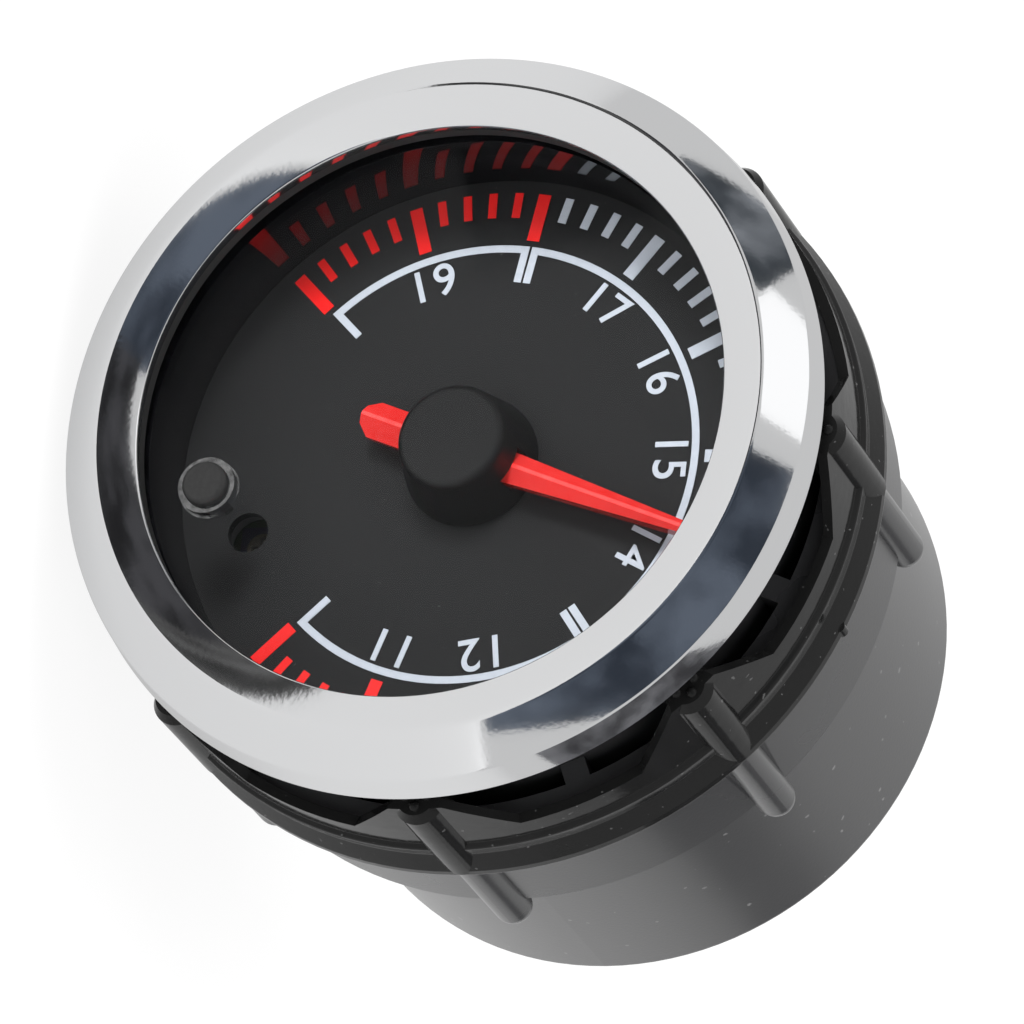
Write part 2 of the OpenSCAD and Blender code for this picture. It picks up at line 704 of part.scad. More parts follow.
module gauge_case() color("#1a1a1b") seated() difference() {
    union() {
        rotate_extrude($fn = 144) case_profile();
        rotate_extrude() translate([case_r, bead_h]) circle(r = bead_r, $fn = 24);
        around(boss_count, boss_place_r, boss_turn) rod(boss_r, board_front, lamp_back - run_fit);
        around(boss_count, (boss_place_r + case_bore_r) / 2, boss_turn)
            slab(case_bore_r - boss_place_r + case_wall, web_w, board_front, lamp_back - shelf_t / 2);
        around(boss_count, cover_boss_place_r, cover_boss_turn)
            rod(cover_boss_r, cover_ledge, cover_ledge + cover_boss_l);
        around(boss_count, (cover_boss_place_r + case_bore_r) / 2, cover_boss_turn)
            slab(case_bore_r - cover_boss_place_r + case_wall, web_w, cover_ledge, cover_ledge + cover_boss_l);
    }
    around(boss_count, boss_place_r, boss_turn) {
        rod(pilot_r, lamp_back - pilot_depth, lamp_back + overrun);
        rod(pilot_r, board_front - overrun, board_front + pilot_depth);
    }
    around(boss_count, cover_boss_place_r, cover_boss_turn)
        rod(pilot_r, cover_ledge - overrun, cover_ledge + cover_boss_l - cover_t / 2);
}

module rear_cover() color("#161617") seated() difference() {
    rod(cover_bore_r - run_fit, cover_ledge - cover_t, cover_ledge);
    translate([0, -plug_shell_place, 0]) slab(plug_shell_w + 2 * shell_play, plug_shell_h + 2 * shell_play,
                                    rear_z - overrun, cover_ledge + overrun);
    around(boss_count, cover_boss_place_r, cover_boss_turn) {
        rod(shank_r + screw_play, rear_z - overrun, cover_ledge + overrun);
        rod(head_r + screw_play, rear_z - overrun, cover_ledge - cover_t / 2);
    }
}

module cover_screws() color("#c0c4c8") seated()
    around(boss_count, cover_boss_place_r, cover_boss_turn)
        translate([0, 0, cover_ledge - cover_t / 2]) rotate([180, 0, 0]) screw(0);

// Mounting collar
module mounting_sleeve() color("#232324") seated() {
    difference() {
        union() {
            rod(sleeve_r, -sleeve_rear, -sleeve_front);
            around(rib_count, rib_place_r) {
                rod(rib_r, -rib_end, -sleeve_front);
                at_height(-rib_end) sphere(r = rib_r, $fn = 32);
            }
        }
        rod(sleeve_r - sleeve_wall, -sleeve_rear + sleeve_lip, 0);
        rod(land_r, -rib_end - post_d, 0);
    }
    around(rib_count, (land_r + sleeve_r - sleeve_wall / 2) / 2, 180 / rib_count)
        intersection() {
            slab(sleeve_r - sleeve_wall / 2 - land_r, land_w, -sleeve_rear + sleeve_lip / 2, -sleeve_front);
            translate([-(land_r + sleeve_r - sleeve_wall / 2) / 2, 0, 0])
                tube(sleeve_r, land_r, -sleeve_rear, -sleeve_front);
        }
}

// Outline of the crown ring from its front edge between the posts, or at a gusset, to its rear
module crown_profile() {
    start = [crown_r, -gusset_front];
    root = [crown_r, -flange_front];
    ridge = [crown_r + ridge_w, -flange_front - ridge_w];
    neck = [crown_r + ridge_w / 2, ridge.y - ridge_l];
    lip = [flange_r, -crown_rear + lip_l];
    heel = [flange_r, -crown_rear];
    polygon([[crown_inner_r, -gusset_front], start, each rounded(start, root, ridge, ridge_w / 2, 4),
             each rounded(root, ridge, neck, ridge_w, 5), each rounded(ridge, neck, lip, ridge_w, 4),
             each rounded(neck, lip, heel, lip_round, 4),
             each rounded(lip, heel, [crown_inner_r, -crown_rear], lip_round, 4),
             [crown_inner_r - overrun, -crown_rear], [crown_inner_r - overrun, -sleeve_front + run_fit],
             [crown_inner_r, -sleeve_front + run_fit]]);
}

// The room between two posts, cut through the wall with a slope on each side
module valley() {
    rotate([90, 0, 90]) linear_extrude(crown_r + overrun)
        polygon([[-valley_half, -crown_front], [valley_half, -crown_front],
                 [valley_top_half, -gusset_front], [valley_top_half, overrun],
                 [-valley_top_half, overrun], [-valley_top_half, -gusset_front]]);
}

module crown_ring() color("#0e0e0f") seated() difference() {
    union() {
        difference() {
            rotate_extrude($fn = 144) crown_profile();
            around(rib_count, 0, 180 / rib_count) valley();
        }
        around(rib_count, rib_place_r) {
            rod(post_r, -post_rear, -post_front - post_taper);
            at_height(-post_front - post_taper)
                cylinder(r1 = post_r, r2 = post_r - post_taper / 2, h = post_taper);
            for (g = [0:90:270]) rotate(g) translate([bump_place, 0, -post_front]) sphere(r = bump_r, $fn = 16);
        }
        rotate(nub_angle) translate([flange_r - nub_r / 2, 0, 0]) rod(nub_r, -crown_rear, -crown_rear + 2 * nub_r);
    }
    rod(crown_inner_r, -crown_rear - overrun, -sleeve_front + run_fit);
    around(rib_count, rib_place_r) rod(socket_r, -crown_rear - overrun, -sleeve_front + run_fit);
}

bezel_ring();
lens_gasket();
lens();
lens_plug();
visor_ring();
dial_plate();
scale_marks_white();
scale_marks_red();
light_guide();
pointer();
pointer_hub();
pointer_shaft();
rotor_magnet();
upper_bearing();
lower_bearing();
upper_bobbin();
lower_bobbin();
inner_coil();
outer_coil();
shield_can();
movement_screws();
coil_terminals();
lamp_board();
dial_leds();
trimmer_body();
trimmer_rotor();
lamp_board_screws();
board_link();
main_board();
driver_chip();
capacitors();
regulator();
main_board_screws();
connector_shell();
connector_pins();
gauge_case();
rear_cover();
cover_screws();
mounting_sleeve();
crown_ring();
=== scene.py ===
import math

import bmesh
import bpy
from mathutils import Matrix, Vector


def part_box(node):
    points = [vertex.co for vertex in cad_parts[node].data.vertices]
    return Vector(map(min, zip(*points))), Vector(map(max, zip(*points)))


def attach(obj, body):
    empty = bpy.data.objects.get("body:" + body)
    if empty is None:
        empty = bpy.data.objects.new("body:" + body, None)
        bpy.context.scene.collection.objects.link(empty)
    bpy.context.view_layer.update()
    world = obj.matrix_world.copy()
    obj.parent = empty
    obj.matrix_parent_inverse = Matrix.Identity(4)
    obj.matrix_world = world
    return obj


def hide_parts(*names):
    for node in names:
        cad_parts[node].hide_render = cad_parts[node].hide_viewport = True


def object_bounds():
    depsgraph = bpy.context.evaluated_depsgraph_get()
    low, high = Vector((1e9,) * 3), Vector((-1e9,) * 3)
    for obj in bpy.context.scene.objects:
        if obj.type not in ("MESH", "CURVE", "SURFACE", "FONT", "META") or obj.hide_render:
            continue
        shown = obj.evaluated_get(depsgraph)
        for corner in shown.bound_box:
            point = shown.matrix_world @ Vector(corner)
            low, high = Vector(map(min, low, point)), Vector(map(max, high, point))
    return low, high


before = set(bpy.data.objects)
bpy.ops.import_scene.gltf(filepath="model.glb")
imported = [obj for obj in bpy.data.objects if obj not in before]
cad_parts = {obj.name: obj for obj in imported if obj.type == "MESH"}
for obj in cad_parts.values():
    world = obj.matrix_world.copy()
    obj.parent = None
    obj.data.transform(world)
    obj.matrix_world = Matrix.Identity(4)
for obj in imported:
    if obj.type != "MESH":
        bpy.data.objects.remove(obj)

cad_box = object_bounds()
MM = 0.001


# The photograph's view: a long lens in front of the dial, above it and to its right. The image's
# top is the dial's left, because the gauge lies on its side in the picture.
eye = Vector((286.49, -661.95, 254.45)) * MM
look = Vector((-0.3676, 0.8707, -0.3266)).normalized()
image_up = Vector((-0.9245, -0.3803, 0.0268))
focal_share = 9.766

camera = bpy.data.objects.new("photo_camera", bpy.data.cameras.new("photo_camera"))
camera.data.sensor_width = 36
camera.data.lens = focal_share * camera.data.sensor_width
camera.data.clip_start = 0.05
camera.data.clip_end = 50
image_right = look.cross(image_up).normalized()
camera.matrix_world = Matrix((image_right, image_right.cross(look), -look)).transposed().to_4x4()
camera.matrix_world.translation = eye
bpy.context.scene.collection.objects.link(camera)
bpy.context.scene.camera = camera


# The studio: a white sweep of board under the gauge, with white walls all round. Chrome and glossy
# black see the walls and the floor a little grey, as they would in a room that isn't lit evenly.
white = (1, 1, 1)
board_white = (0.9, 0.9, 0.9)
floor_gap = 0.5 * MM
floor_half = 3
fill_level = 0.9
gloss_level = 0.6
floor_gloss_share = 0.8
floor_gloss_level = 0.54
shadow_share = 0.12


class Wire:
    """The output of a shader node. Sums of wires add the Math nodes that work them out."""

    def __init__(self, finish, socket):
        self.finish = finish
        self.socket = socket

    def maths(self, operation, first, second):
        return self.finish.node("Math", {"operation": operation}, {0: first, 1: second})

    def __add__(self, other):
        return self.maths("ADD", self, other)

    def __radd__(self, other):
        return self.maths("ADD", other, self)

    def __sub__(self, other):
        return self.maths("SUBTRACT", self, other)

    def __rsub__(self, other):
        return self.maths("SUBTRACT", other, self)

    def __mul__(self, other):
        return self.maths("MULTIPLY", self, other)

    def __rmul__(self, other):
        return self.maths("MULTIPLY", other, self)

    def __gt__(self, other):
        return self.maths("GREATER_THAN", self, other)

    def __lt__(self, other):
        return self.maths("LESS_THAN", self, other)

    def __or__(self, other):
        return self.maths("MAXIMUM", self, other)


class Finish:
    """The shader nodes of one material, or of the studio's light."""

    def __init__(self, owner):
        self.owner = owner
        owner.use_nodes = True
        self.tree = owner.node_tree
        self.tree.nodes.clear()

    def node(self, kind, settings=None, sockets=None, output=0):
        """A node of a kind, its settings first, then its sockets' values or links."""
        made = self.tree.nodes.new("ShaderNode" + kind)
        for name, value in (settings or {}).items():
            if name == "stops":
                for stop, (place, tone) in zip(made.color_ramp.elements, value):
                    stop.position = place
                    stop.color = (*tone, 1)
            else:
                setattr(made, name, value)
        for name, value in (sockets or {}).items():
            if isinstance(value, Wire):
                self.tree.links.new(value.socket, made.inputs[name])
            else:
                made.inputs[name].default_value = value
        return Wire(self, made.outputs[output]) if made.outputs else None

    def mix(self, mask, low, high):
        """The colour low where the mask is 0, and high where it is 1."""
        colours = {6: low, 7: high}
        colours = {key: c if isinstance(c, Wire) else (*c, 1) for key, c in colours.items()}
        return self.node("Mix", {"data_type": "RGBA"}, {0: mask, **colours}, 2)

    def grain(self, size, detail=2.0, stretch=(1, 1, 1)):
        """Noise whose blots are about size metres across, stretched along the piece's own axes."""
        place = self.node("TexCoord", output="Object")
        place = self.node("Mapping", {}, {"Vector": place, "Scale": stretch})
        return self.node("TexNoise", {}, {"Vector": place, "Scale": 1 / size, "Detail": detail})

    def specks(self, size, threshold):
        """Scattered spots about size metres across, fewer as threshold nears 1."""
        return self.grain(size, 0.0) > threshold

    def bump(self, height, depth, strength=1.0):
        return self.node("Bump", {}, {"Height": height, "Distance": depth, "Strength": strength})

    def plastic(self, edge_gloss=0.0, edge_rough=0.15, **sockets):
        """Ends the material in a Principled shader, with more gloss where the surface turns away.

        Socket names are written with underscores.
        """
        named = {name.replace("_", " "): value for name, value in sockets.items()}
        for name, value in named.items():
            if isinstance(value, tuple):
                named[name] = (*value, 1)
        shader = self.node("BsdfPrincipled", {}, named)
        if edge_gloss:
            turned = self.node("LayerWeight", {}, {"Blend": 0.5}, "Facing")
            gloss = self.node("BsdfGlossy", {}, {"Color": (*white, 1), "Roughness": edge_rough})
            shader = self.node("MixShader", {}, {0: turned * turned * turned * edge_gloss,
                                                 1: shader, 2: gloss})
        self.end(shader)

    def end(self, shader):
        kind = "OutputWorld" if isinstance(self.owner, bpy.types.World) else "OutputMaterial"
        self.node(kind, {}, {"Surface": shader})


def material(name):
    return Finish(bpy.data.materials.new(name))


def told_apart(finish, seen, gloss, other):
    """One level for what the camera sees, also through glass, one for gloss, one for the rest."""
    camera_ray, glass_ray, gloss_ray = (
        finish.node("LightPath", output=f"Is {kind} Ray") for kind in ("Camera", "Transmission", "Glossy"))
    return (camera_ray | glass_ray) * (seen - other) + gloss_ray * (gloss - other) + other


def mesh_object(name, build):
    """A new object with the mesh that build(bm) makes."""
    bm = bmesh.new()
    build(bm)
    bm.normal_update()
    mesh = bpy.data.meshes.new(name)
    bm.to_mesh(mesh)
    bm.free()
    made = bpy.data.objects.new(name, mesh)
    bpy.context.scene.collection.objects.link(made)
    return made


def board(name, centre, across, along):
    """A flat rectangle given by its centre and its two half sides."""
    def build(bm):
        corners = [bm.verts.new(centre + across * a + along * b)
                   for a, b in ((-1, -1), (1, -1), (1, 1), (-1, 1))]
        bm.faces.new(corners)
    return mesh_object(name, build)


studio = Finish(bpy.data.worlds.new("studio"))
bpy.context.scene.world = studio.owner
studio.end(studio.node("Background", {}, {
    "Color": (*white, 1), "Strength": told_apart(studio, 1.0, gloss_level, fill_level)}))

floor_height = cad_box[0].z - floor_gap
floor_white = material("floor_white")
lit = floor_white.node("BsdfDiffuse", {}, {"Color": (*board_white, 1)})
clean = floor_white.node("Emission", {}, {
    "Color": (*white, 1), "Strength": told_apart(floor_white, 1.0, floor_gloss_level, 1.0)})
share = told_apart(floor_white, 1 - shadow_share, floor_gloss_share, 0.0)
floor_white.end(floor_white.node("MixShader", {}, {0: share, 1: lit, 2: clean}))
floor = board("floor", Vector((0, 0, floor_height)),
              Vector((floor_half, 0, 0)), Vector((0, floor_half, 0)))
floor.data.materials.append(floor_white.owner)


# Cloths hang round the gauge where the studio is open or dark. Only gloss sees them: they draw the
# dark and bright zones on the chrome, and give no light and no shadow.
far_cloth, near_cloth = 1.4, 0.55
soft_blots, room_blots, doorway_blots, fine_blots = 0.12, 0.4, 0.35, 0.05
room_blue = (0.03, 0.037, 0.05), (0.11, 0.13, 0.165)
doorway_grey = (0.04, 0.047, 0.055), (0.26, 0.275, 0.3)
corner_black = (0.016, 0.016, 0.017), (0.06, 0.06, 0.065)
stand_black = (0.02, 0.02, 0.022), (0.06, 0.06, 0.065)
back_grey = (0.04, 0.04, 0.043), (0.16, 0.16, 0.17)
mat_black = (0.03, 0.03, 0.03), (0.12, 0.12, 0.12)
panel_white = (1.1, 1.1, 1.1), (1.1, 1.1, 1.1)
blot_range = 0.4, 0.62
mat_azimuths = (-62, -30)
mat_reach = (0.1, 0.7)
mat_lift = 0.4 * MM


def facing(azimuth, elevation):
    """The direction from the gauge at an azimuth from the dial's front and an elevation."""
    a, e = math.radians(azimuth), math.radians(elevation)
    return Vector((math.sin(a) * math.cos(e), -math.cos(a) * math.cos(e), math.sin(e)))


def between(ends, share):
    return ends[0] + (ends[1] - ends[0]) * share


def cloth_of(name, tones, blot):
    """A mottled cloth that gives its own tone to the gloss that mirrors it."""
    cloth = material(name)
    tone = cloth.node("ValToRGB", {"stops": list(zip(blot_range, tones))}, {0: cloth.grain(blot, 3.0)})
    cloth.end(cloth.node("Emission", {}, {"Color": tone, "Strength": 1.0}))
    return cloth.owner


def spread(name, place, cloth, steps=12):
    """A sheet that only gloss sees. place(u, v) gives its points, for shares from 0 to 1."""
    def build(bm):
        rows = [[bm.verts.new(place(j / steps, i / steps)) for j in range(steps + 1)]
                for i in range(steps + 1)]
        for low, high in zip(rows, rows[1:]):
            for j in range(steps):
                bm.faces.new((low[j], low[j + 1], high[j + 1], high[j]))
    made = mesh_object(name, build)
    made.data.materials.append(cloth)
    made.visible_camera = made.visible_shadow = False
    made.visible_diffuse = made.visible_transmission = False


def curtain(name, azimuths, elevations, tones, blot=soft_blots, distance=far_cloth):
    """A curtain of the studio, between two azimuths and two elevations."""
    def place(u, v):
        return distance * facing(between(azimuths, u), between(elevations, v))
    spread(name, place, cloth_of(name, tones, blot))


def on_mat(u, v):
    return (facing(between(mat_azimuths, u), 0) * between(mat_reach, v * v)
            + Vector((0, 0, floor_height + mat_lift)))


curtain("room_behind_camera", (-17, 51), (0, 60), room_blue, room_blots)
curtain("room_left_of_camera", (-47, -16), (-3, 12), corner_black, fine_blots, near_cloth)
curtain("dark_doorway", (-80, -59), (13, 38), doorway_grey, doorway_blots)
curtain("dark_stand", (-66, -47), (-3, 9), stand_black, fine_blots, near_cloth)
curtain("key_panel", (-62, -28), (38, 60), panel_white)
curtain("room_at_the_back", (132, 160), (6, 36), back_grey)
spread("dark_mat", on_mat, cloth_of("dark_mat", mat_black, fine_blots))


# Three softboxes light the gauge: the key from the front left, a wide one from the right, and one
# from above. Gloss sees the cloths and the panel in their stead.
lamp_distance = 1.3


def lamp(name, azimuth, elevation, size, power):
    made = bpy.data.objects.new(name, bpy.data.lights.new(name, "AREA"))
    made.data.shape = "RECTANGLE"
    made.data.size, made.data.size_y = size
    made.data.energy = power
    made.location = facing(azimuth, elevation) * lamp_distance
    made.rotation_mode = "QUATERNION"
    made.rotation_quaternion = made.location.to_track_quat("Z", "Y")
    made.visible_glossy = False
    bpy.context.scene.collection.objects.link(made)


lamp("key_softbox", -24, 6, (0.35, 0.35), 15)
lamp("right_softbox", 62, 24, (0.6, 0.9), 12)
lamp("top_softbox", -20, 72, (0.8, 0.8), 12)


# The case is a deep cup of satin black plastic, moulded in one piece, with the mould's fine texture
# and some dust on it. The rear cover is of the same plastic, let into its end.
case_blacks = (0.015, 0.015, 0.016), (0.024, 0.024, 0.025)
dust_grey = (0.09, 0.09, 0.09)


def dress(name, finish):
    """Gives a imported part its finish."""
    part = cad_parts[name]
    for slot in part.material_slots:
        slot.material = finish.owner


satin_black = material("satin_black")
texture = satin_black.grain(0.25 * MM)
cloud = satin_black.grain(12 * MM, 3.0)
dust = satin_black.specks(0.7 * MM, 0.83)
satin_black.plastic(
    Base_Color=satin_black.mix(dust, satin_black.mix(cloud, *case_blacks), dust_grey),
    edge_gloss=0.42, edge_rough=0.24, Specular_IOR_Level=0.7, Roughness=cloud * 0.08 + 0.27,
    Normal=satin_black.bump(texture, 0.015 * MM, 0.5))
for name in ("gauge_case", "rear_cover"):
    dress(name, satin_black)


# The screws are of plated steel with brushed heads, and hold the cover, the boards and the movement.
# The pointer's shaft is of the same bright steel, ground to size.
steel = (0.55, 0.56, 0.58)
screw_steel = material("screw_steel")
screw_steel.plastic(Base_Color=steel, Metallic=1.0, Roughness=screw_steel.grain(0.4 * MM) * 0.2 + 0.25)
for name in ("cover_screws", "lamp_board_screws", "main_board_screws", "movement_screws", "pointer_shaft"):
    dress(name, screw_steel)


# The wiring socket is a moulded black shell with gold-plated pins, soldered to the main board. The
# driver, the regulator and the link between the boards are moulded in the same black.
socket_tone = (0.012, 0.012, 0.013)
gold = (0.75, 0.58, 0.28)
socket_black = material("socket_black")
socket_black.plastic(Base_Color=socket_tone, Roughness=socket_black.grain(0.6 * MM) * 0.15 + 0.3)
pin_gold = material("pin_gold")
pin_gold.plastic(Base_Color=gold, Metallic=1.0, Roughness=pin_gold.grain(0.5 * MM) * 0.2 + 0.2)
for name in ("connector_shell", "driver_chip", "regulator", "board_link"):
    dress(name, socket_black)
for name in ("connector_pins", "coil_terminals", "upper_bearing", "lower_bearing"):
    dress(name, pin_gold)


# The circuit boards are glass fibre under a dark green solder mask, screwed to the case. The copper
# tracks stand up a little under the mask.
mask_tones = (0.003, 0.016, 0.008), (0.005, 0.024, 0.012)
mask_green = material("mask_green")
tracks = mask_green.grain(1.5 * MM, 1.0) > 0.52
mask_green.plastic(Base_Color=mask_green.mix(tracks, *mask_tones),
                   Roughness=0.3, Normal=mask_green.bump(tracks, 0.03 * MM))
for name in ("lamp_board", "main_board"):
    dress(name, mask_green)


# The movement: two coils of enamelled copper wire, wound crosswise on moulded bobbins round a sintered
# magnet, in a plated steel can. The trimmer's rotor is moulded like the bobbins.
bobbin_tones = (0.030, 0.026, 0.020), (0.042, 0.036, 0.028)
copper_tones = (0.30, 0.08, 0.03), (0.62, 0.24, 0.09)
can_tone = (0.5, 0.51, 0.53)
magnet_tones = (0.03, 0.03, 0.03), (0.08, 0.08, 0.08)
turns_per_metre = 1600.0
bobbin_cream = material("bobbin_cream")
bobbin_cream.plastic(Base_Color=bobbin_cream.mix(bobbin_cream.grain(4 * MM), *bobbin_tones), Roughness=0.45)
copper_wire = material("copper_wire")
turns = copper_wire.node("TexWave", {"wave_type": "BANDS", "bands_direction": "X"},
                         {"Vector": copper_wire.node("TexCoord", output="Object"),
                          "Scale": turns_per_metre, "Distortion": 0.6})
copper_wire.plastic(Base_Color=copper_wire.mix(turns, *copper_tones), Metallic=0.8,
                    Roughness=0.35, Normal=copper_wire.bump(turns, 0.05 * MM))
can_plate = material("can_plate")
can_plate.plastic(Base_Color=can_tone, Metallic=1.0, Roughness=can_plate.grain(2 * MM) * 0.2 + 0.3)
magnet_grey = material("magnet_grey")
magnet_grey.plastic(Base_Color=magnet_grey.mix(magnet_grey.grain(0.3 * MM), *magnet_tones), Roughness=0.6)
for name in ("upper_bobbin", "lower_bobbin", "trimmer_rotor"):
    dress(name, bobbin_cream)
for name in ("inner_coil", "outer_coil"):
    dress(name, copper_wire)
dress("shield_can", can_plate)
dress("rotor_magnet", magnet_grey)


# Soldered to the boards: the dial's lamps in cream epoxy, the calibration trimmer in dark blue
# plastic, and the capacitors in their blue sleeves. The guide is a clear disc behind the dial,
# which spreads the lamps' light; it is coloured dark grey as painted shade, for the dark it lies in.
lamp_tones = (0.85, 0.78, 0.50), (0.92, 0.86, 0.62)
trimmer_tones = (0.004, 0.008, 0.02), (0.006, 0.012, 0.03)
capacitor_tones = (0.01, 0.02, 0.08), (0.02, 0.03, 0.11)
# Painted shade: the clear guide gets a dark grey, for the dark behind the dial where it shows through the
# hole.
guide_shade_tones = (0.045, 0.048, 0.05), (0.06, 0.063, 0.066)
for name, finish_name, tones, blot, rough in (
        ("dial_leds", "lamp_cream", lamp_tones, 1 * MM, 0.3),
        ("trimmer_body", "trimmer_blue", trimmer_tones, 1 * MM, 0.4),
        ("capacitors", "capacitor_blue", capacitor_tones, 3 * MM, 0.25),
        ("light_guide", "guide_painted_shade", guide_shade_tones, 6 * MM, 0.35)):
    finish = material(finish_name)
    finish.plastic(Base_Color=finish.mix(finish.grain(blot), *tones), Roughness=rough)
    dress(name, finish)


# The dial is a charcoal disc, printed matte, with a fine tooth in the ink and a few specks of lint.
# It lies on the light guide, and the visor ring holds it down.
ink_tones = (0.015, 0.015, 0.0152), (0.019, 0.019, 0.0193)
lint_grey = (0.10, 0.10, 0.10)
dial_ink = material("dial_ink")
tooth = dial_ink.grain(0.18 * MM)
haze = dial_ink.grain(20 * MM)
lint = dial_ink.specks(0.3 * MM, 0.88)
dial_ink.plastic(Base_Color=dial_ink.mix(lint, dial_ink.mix(haze, *ink_tones), lint_grey),
                 Specular_IOR_Level=0.3, Roughness=tooth * 0.2 + 0.5,
                 Normal=dial_ink.bump(tooth, 0.01 * MM, 0.4))
dress("dial_plate", dial_ink)


# The scale's marks are screen printed on the dial in pale grey and red ink. The ink lies a little
# unevenly.
white_tones = (0.46, 0.495, 0.55), (0.54, 0.575, 0.63)
red_tones = (0.82, 0.006, 0.005), (0.94, 0.009, 0.007)
print_white = material("print_white")
print_white.plastic(Base_Color=print_white.mix(print_white.grain(0.6 * MM), *white_tones), Roughness=0.5)
print_red = material("print_red")
print_red.plastic(Base_Color=print_red.mix(print_red.grain(0.8 * MM), *red_tones), Roughness=0.45)
dress("scale_marks_white", print_white)
dress("scale_marks_red", print_red)


# Plain figures stand inside the arc at the main divisions that carry no bracket. They are printed
# with the scale, in the same pale ink.
dial_front = 6.7 * MM
figure_r = 15.9 * MM
figure_h = 2.75 * MM
figure_t = 0.05 * MM
cap_share = 0.72
weight_share = 0.012
figure_spacing = 1.1
scale_start = 225
scale_step = 5.4
top_figure = 20
main_every = 5
figure_marks = (5, 15, 20, 25, 30, 40, 45)
on_dial = Matrix(((1, 0, 0), (0, 0, -1), (0, 1, 0))).to_4x4()


def figure(text, mark):
    """One number, printed with its top away from the dial's centre."""
    font = bpy.data.curves.new("figure", "FONT")
    font.body = text
    font.size = figure_h / cap_share
    font.align_x = "CENTER"
    font.align_y = "CENTER"
    font.offset = figure_h * weight_share
    font.space_character = figure_spacing
    font.extrude = figure_t / 2
    drawn = bpy.data.objects.new("figure", font)
    bpy.context.scene.collection.objects.link(drawn)
    bpy.context.view_layer.update()
    mesh = bpy.data.meshes.new_from_object(drawn.evaluated_get(bpy.context.evaluated_depsgraph_get()))
    bpy.data.objects.remove(drawn)
    angle = math.radians(scale_start - scale_step * mark)
    mesh.transform(Matrix.Translation((0, figure_r, 0)))
    mesh.transform(Matrix.Rotation(angle - math.pi / 2, 4, "Z"))
    mesh.transform(on_dial)
    mesh.transform(Matrix.Translation((0, dial_front - figure_t, 0)))
    made = bpy.data.objects.new(f"figure_{text}", mesh)
    bpy.context.scene.collection.objects.link(made)
    made.data.materials.clear()
    made.data.materials.append(print_white.owner)
    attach(made, "gauge")


for mark in figure_marks:
    figure(str(top_figure - mark // main_every), mark)


# The visor ring is moulded in glossy black plastic and stands between the dial and the lens. Its
# polished wall mirrors the scale.
visor_tone = (0.006, 0.006, 0.007)
visor_black = material("visor_black")
visor_black.plastic(Base_Color=visor_tone, Roughness=visor_black.grain(3 * MM) * 0.04 + 0.03,
                    IOR=1.55, Normal=visor_black.bump(visor_black.grain(1.8 * MM), 0.01 * MM, 0.3))
dress("visor_ring", visor_black)


# The pointer is moulded in clear red plastic with a ridge along its top. Its faces turned to the front
# are painted a lighter red and its sides a deeper red, as painted light and shade, and it carries a
# faint painted glow of its own red. It is pressed on the shaft, under a matte black cap.
# Painted light and shade: a deeper red for the sides, lighter reds for the lit faces, and a red emission as
# a painted glow.
shaded_side_red = (0.34, 0.002, 0.002)
lit_top_reds = (0.80, 0.016, 0.014), (1.0, 0.075, 0.068)
painted_glow_red = (0.9, 0.02, 0.012)
hub_tones = (0.005, 0.005, 0.005), (0.012, 0.012, 0.012)
pointer_red = material("pointer_red")
# Painted light and shade: faces whose normal lies along the shaft get the lighter red, faces turned
# sideways the deeper red.
turned = pointer_red.node("TexCoord", output="Normal")
lit_face_share = pointer_red.node("SeparateXYZ", {}, {0: turned}, "Y")
lit_top_colour = pointer_red.mix(pointer_red.grain(1.2 * MM), *lit_top_reds)
pointer_red.plastic(Base_Color=pointer_red.mix(lit_face_share * lit_face_share, shaded_side_red, lit_top_colour),
                    Roughness=0.16, Coat_Weight=0.8, Emission_Color=painted_glow_red, Emission_Strength=0.07)
dress("pointer", pointer_red)
hub_black = material("hub_black")
grit = hub_black.grain(0.16 * MM)
hub_black.plastic(Base_Color=hub_black.mix(grit, *hub_tones), Specular_IOR_Level=0.5, Roughness=0.42,
                  Normal=hub_black.bump(grit, 0.02 * MM, 0.6))
dress("pointer_hub", hub_black)


# The lens is a moulded clear pane, seated on a black rubber gasket. Its small boss has streaky
# walls, and a rubber plug is pushed into it.
boss_rise = 0.85 * MM
boss_zone_r = 2.45 * MM
plug_rise = 0.75 * MM
pane_tint = (0.97, 0.975, 0.98)
rubber_tones = (0.008, 0.008, 0.008), (0.02, 0.02, 0.02)
plug_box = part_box("lens_plug")
boss_centre = (Vector(plug_box[0]) + Vector(plug_box[1])) / 2
boss_centre.y = plug_box[0][1] + plug_rise + boss_rise / 2
clear_pane = material("clear_pane")
sheen = clear_pane.node("Fresnel", {}, {"IOR": 1.15})
reach = clear_pane.node("VectorMath", {"operation": "DISTANCE"}, {
    0: clear_pane.node("TexCoord", output="Object"),
    1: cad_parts["lens"].matrix_world.inverted() @ boss_centre}, "Value")
on_boss = reach < boss_zone_r
streaks = clear_pane.grain(0.6 * MM, stretch=(1, 0.25, 1))
through = clear_pane.node("BsdfTransparent", {}, {"Color": (*pane_tint, 1)})
mirror = clear_pane.node("BsdfGlossy", {}, {"Color": (*white, 1), "Roughness": 0.02})
clear_pane.end(clear_pane.node("MixShader", {}, {
    0: on_boss * (streaks * 0.5 - 0.08) + sheen, 1: through, 2: mirror}))
dress("lens", clear_pane)
plug_rubber = material("plug_rubber")
rubber_grain = plug_rubber.grain(0.3 * MM)
plug_rubber.plastic(Base_Color=plug_rubber.mix(rubber_grain, *rubber_tones),
                    Roughness=0.6, Normal=plug_rubber.bump(rubber_grain, 0.01 * MM, 0.5))
for name in ("lens_plug", "lens_gasket"):
    dress(name, plug_rubber)


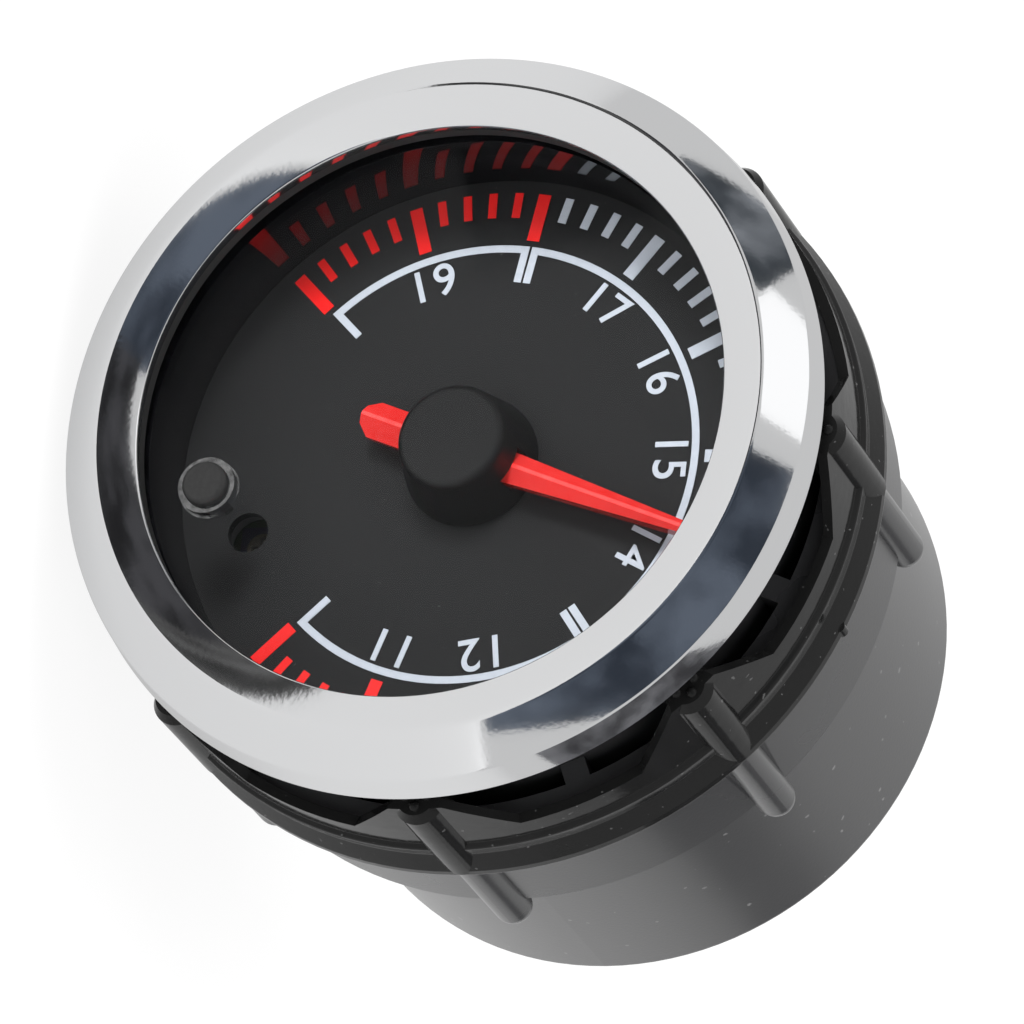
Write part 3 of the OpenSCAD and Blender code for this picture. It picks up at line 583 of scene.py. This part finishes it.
# The bezel is a chromed ring, pressed over the front of the case. Its wall leans in, then
# slopes to a rounded crest and falls to the window's edge. The plating has a faint orange peel and
# fine pits.
bezel_r, bezel_front_r, bezel_side_h = 30.25 * MM, 29.95 * MM, 2.75 * MM
crest_r, crest_h, crest_round = 26.8 * MM, 5.2 * MM, 0.6 * MM
window_r, window_h, window_round = 23.5 * MM, 4.25 * MM, 0.25 * MM
bezel_wall = 1.3 * MM
case_r = 26 * MM
lip_h = window_h - bezel_wall * 0.9
fit = 0.05 * MM
chrome_tone = (0.88, 0.885, 0.895)
lathe_steps = 256
lathe_crease = math.radians(35)


def rounded(before, corner, after, radius, steps=8):
    """The points of the arc that rounds a corner of an outline."""
    before, corner, after = Vector(before), Vector(corner), Vector(after)
    u, w = (before - corner).normalized(), (after - corner).normalized()
    half = u.angle(w) / 2
    middle = corner + (u + w).normalized() * radius / math.sin(half)
    start = corner + u * radius / math.tan(half) - middle
    end = corner + w * radius / math.tan(half) - middle
    turn = -start.angle_signed(end)
    return [middle + Matrix.Rotation(turn * i / steps, 2) @ start for i in range(steps + 1)]


def lathe(name, outline):
    """A ring turned about the gauge's axis. The outline gives radius and height before the panel."""
    angles = [2 * math.pi * i / lathe_steps for i in range(lathe_steps)]

    def build(bm):
        rings = [[bm.verts.new((radius * math.cos(t), -height, radius * math.sin(t))) for t in angles]
                 for radius, height in outline]
        for ring, following in zip(rings, rings[1:] + rings[:1]):
            for i in range(lathe_steps):
                j = (i + 1) % lathe_steps
                bm.faces.new((ring[i], ring[j], following[j], following[i]))
        bmesh.ops.recalc_face_normals(bm, faces=bm.faces)
        for edge in bm.edges:
            if edge.calc_face_angle(0) > lathe_crease:
                edge.smooth = False
        for face in bm.faces:
            face.smooth = True
    return mesh_object(name, build)


side, crest, window = (bezel_front_r, bezel_side_h), (crest_r, crest_h), (window_r, window_h)
lip = (window_r + window_round, lip_h)
grip_r = case_r + bezel_wall
bezel = lathe("bezel", [
    (bezel_r, 0), *rounded((bezel_r, 0), side, crest, crest_round / 2, 4),
    *rounded(side, crest, window, crest_round), *rounded(crest, window, lip, window_round, 5), lip,
    (case_r + fit, lip_h), (case_r + fit, 0), (grip_r, 0), (grip_r, lip_h - bezel_wall / 4),
    (grip_r + bezel_wall / 2, lip_h), (bezel_front_r - bezel_wall, bezel_side_h - bezel_wall / 2),
    (bezel_r - bezel_wall, 0)])
chrome = material("chrome")
peel = chrome.grain(1.4 * MM)
pits = chrome.grain(0.35 * MM)
chrome.plastic(Base_Color=chrome_tone, Metallic=1.0, Roughness=0.075,
               Normal=chrome.bump(peel * 0.7 + pits * 0.3, 0.01 * MM, 0.45))
bezel.data.materials.append(chrome.owner)
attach(bezel, "gauge")
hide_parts("bezel_ring")


# The mounting collar is pushed on the case from behind and grips the panel against the bezel. Its
# sleeve is moulded in satin black with round ribs, and a glossy black crown ring is fixed on it.
sleeve_tones = (0.015, 0.015, 0.016), (0.024, 0.024, 0.025)
crown_tone = (0.007, 0.007, 0.007)
crown_dust = (0.05, 0.05, 0.05)
sleeve_black = material("sleeve_black")
sleeve_grain = sleeve_black.grain(0.25 * MM)
sleeve_cloud = sleeve_black.grain(12 * MM, 3.0)
sleeve_black.plastic(Base_Color=sleeve_black.mix(sleeve_cloud, *sleeve_tones),
                     edge_gloss=0.34, edge_rough=0.2, Specular_IOR_Level=0.5,
                     Roughness=sleeve_cloud * 0.08 + 0.24,
                     Normal=sleeve_black.bump(sleeve_grain, 0.015 * MM, 0.5))
dress("mounting_sleeve", sleeve_black)
crown_black = material("crown_black")
ripple = crown_black.grain(2 * MM, 3.0)
crown_black.plastic(Base_Color=crown_black.mix(crown_black.specks(0.4 * MM, 0.82), crown_tone, crown_dust),
                    edge_gloss=0.1, edge_rough=0.07, Specular_IOR_Level=0.12,
                    Roughness=ripple * 0.08 + 0.08, Normal=crown_black.bump(ripple, 0.05 * MM, 0.6))
dress("crown_ring", crown_black)


# The picture shows the colours as they are.
bpy.context.scene.view_settings.view_transform = "Standard"
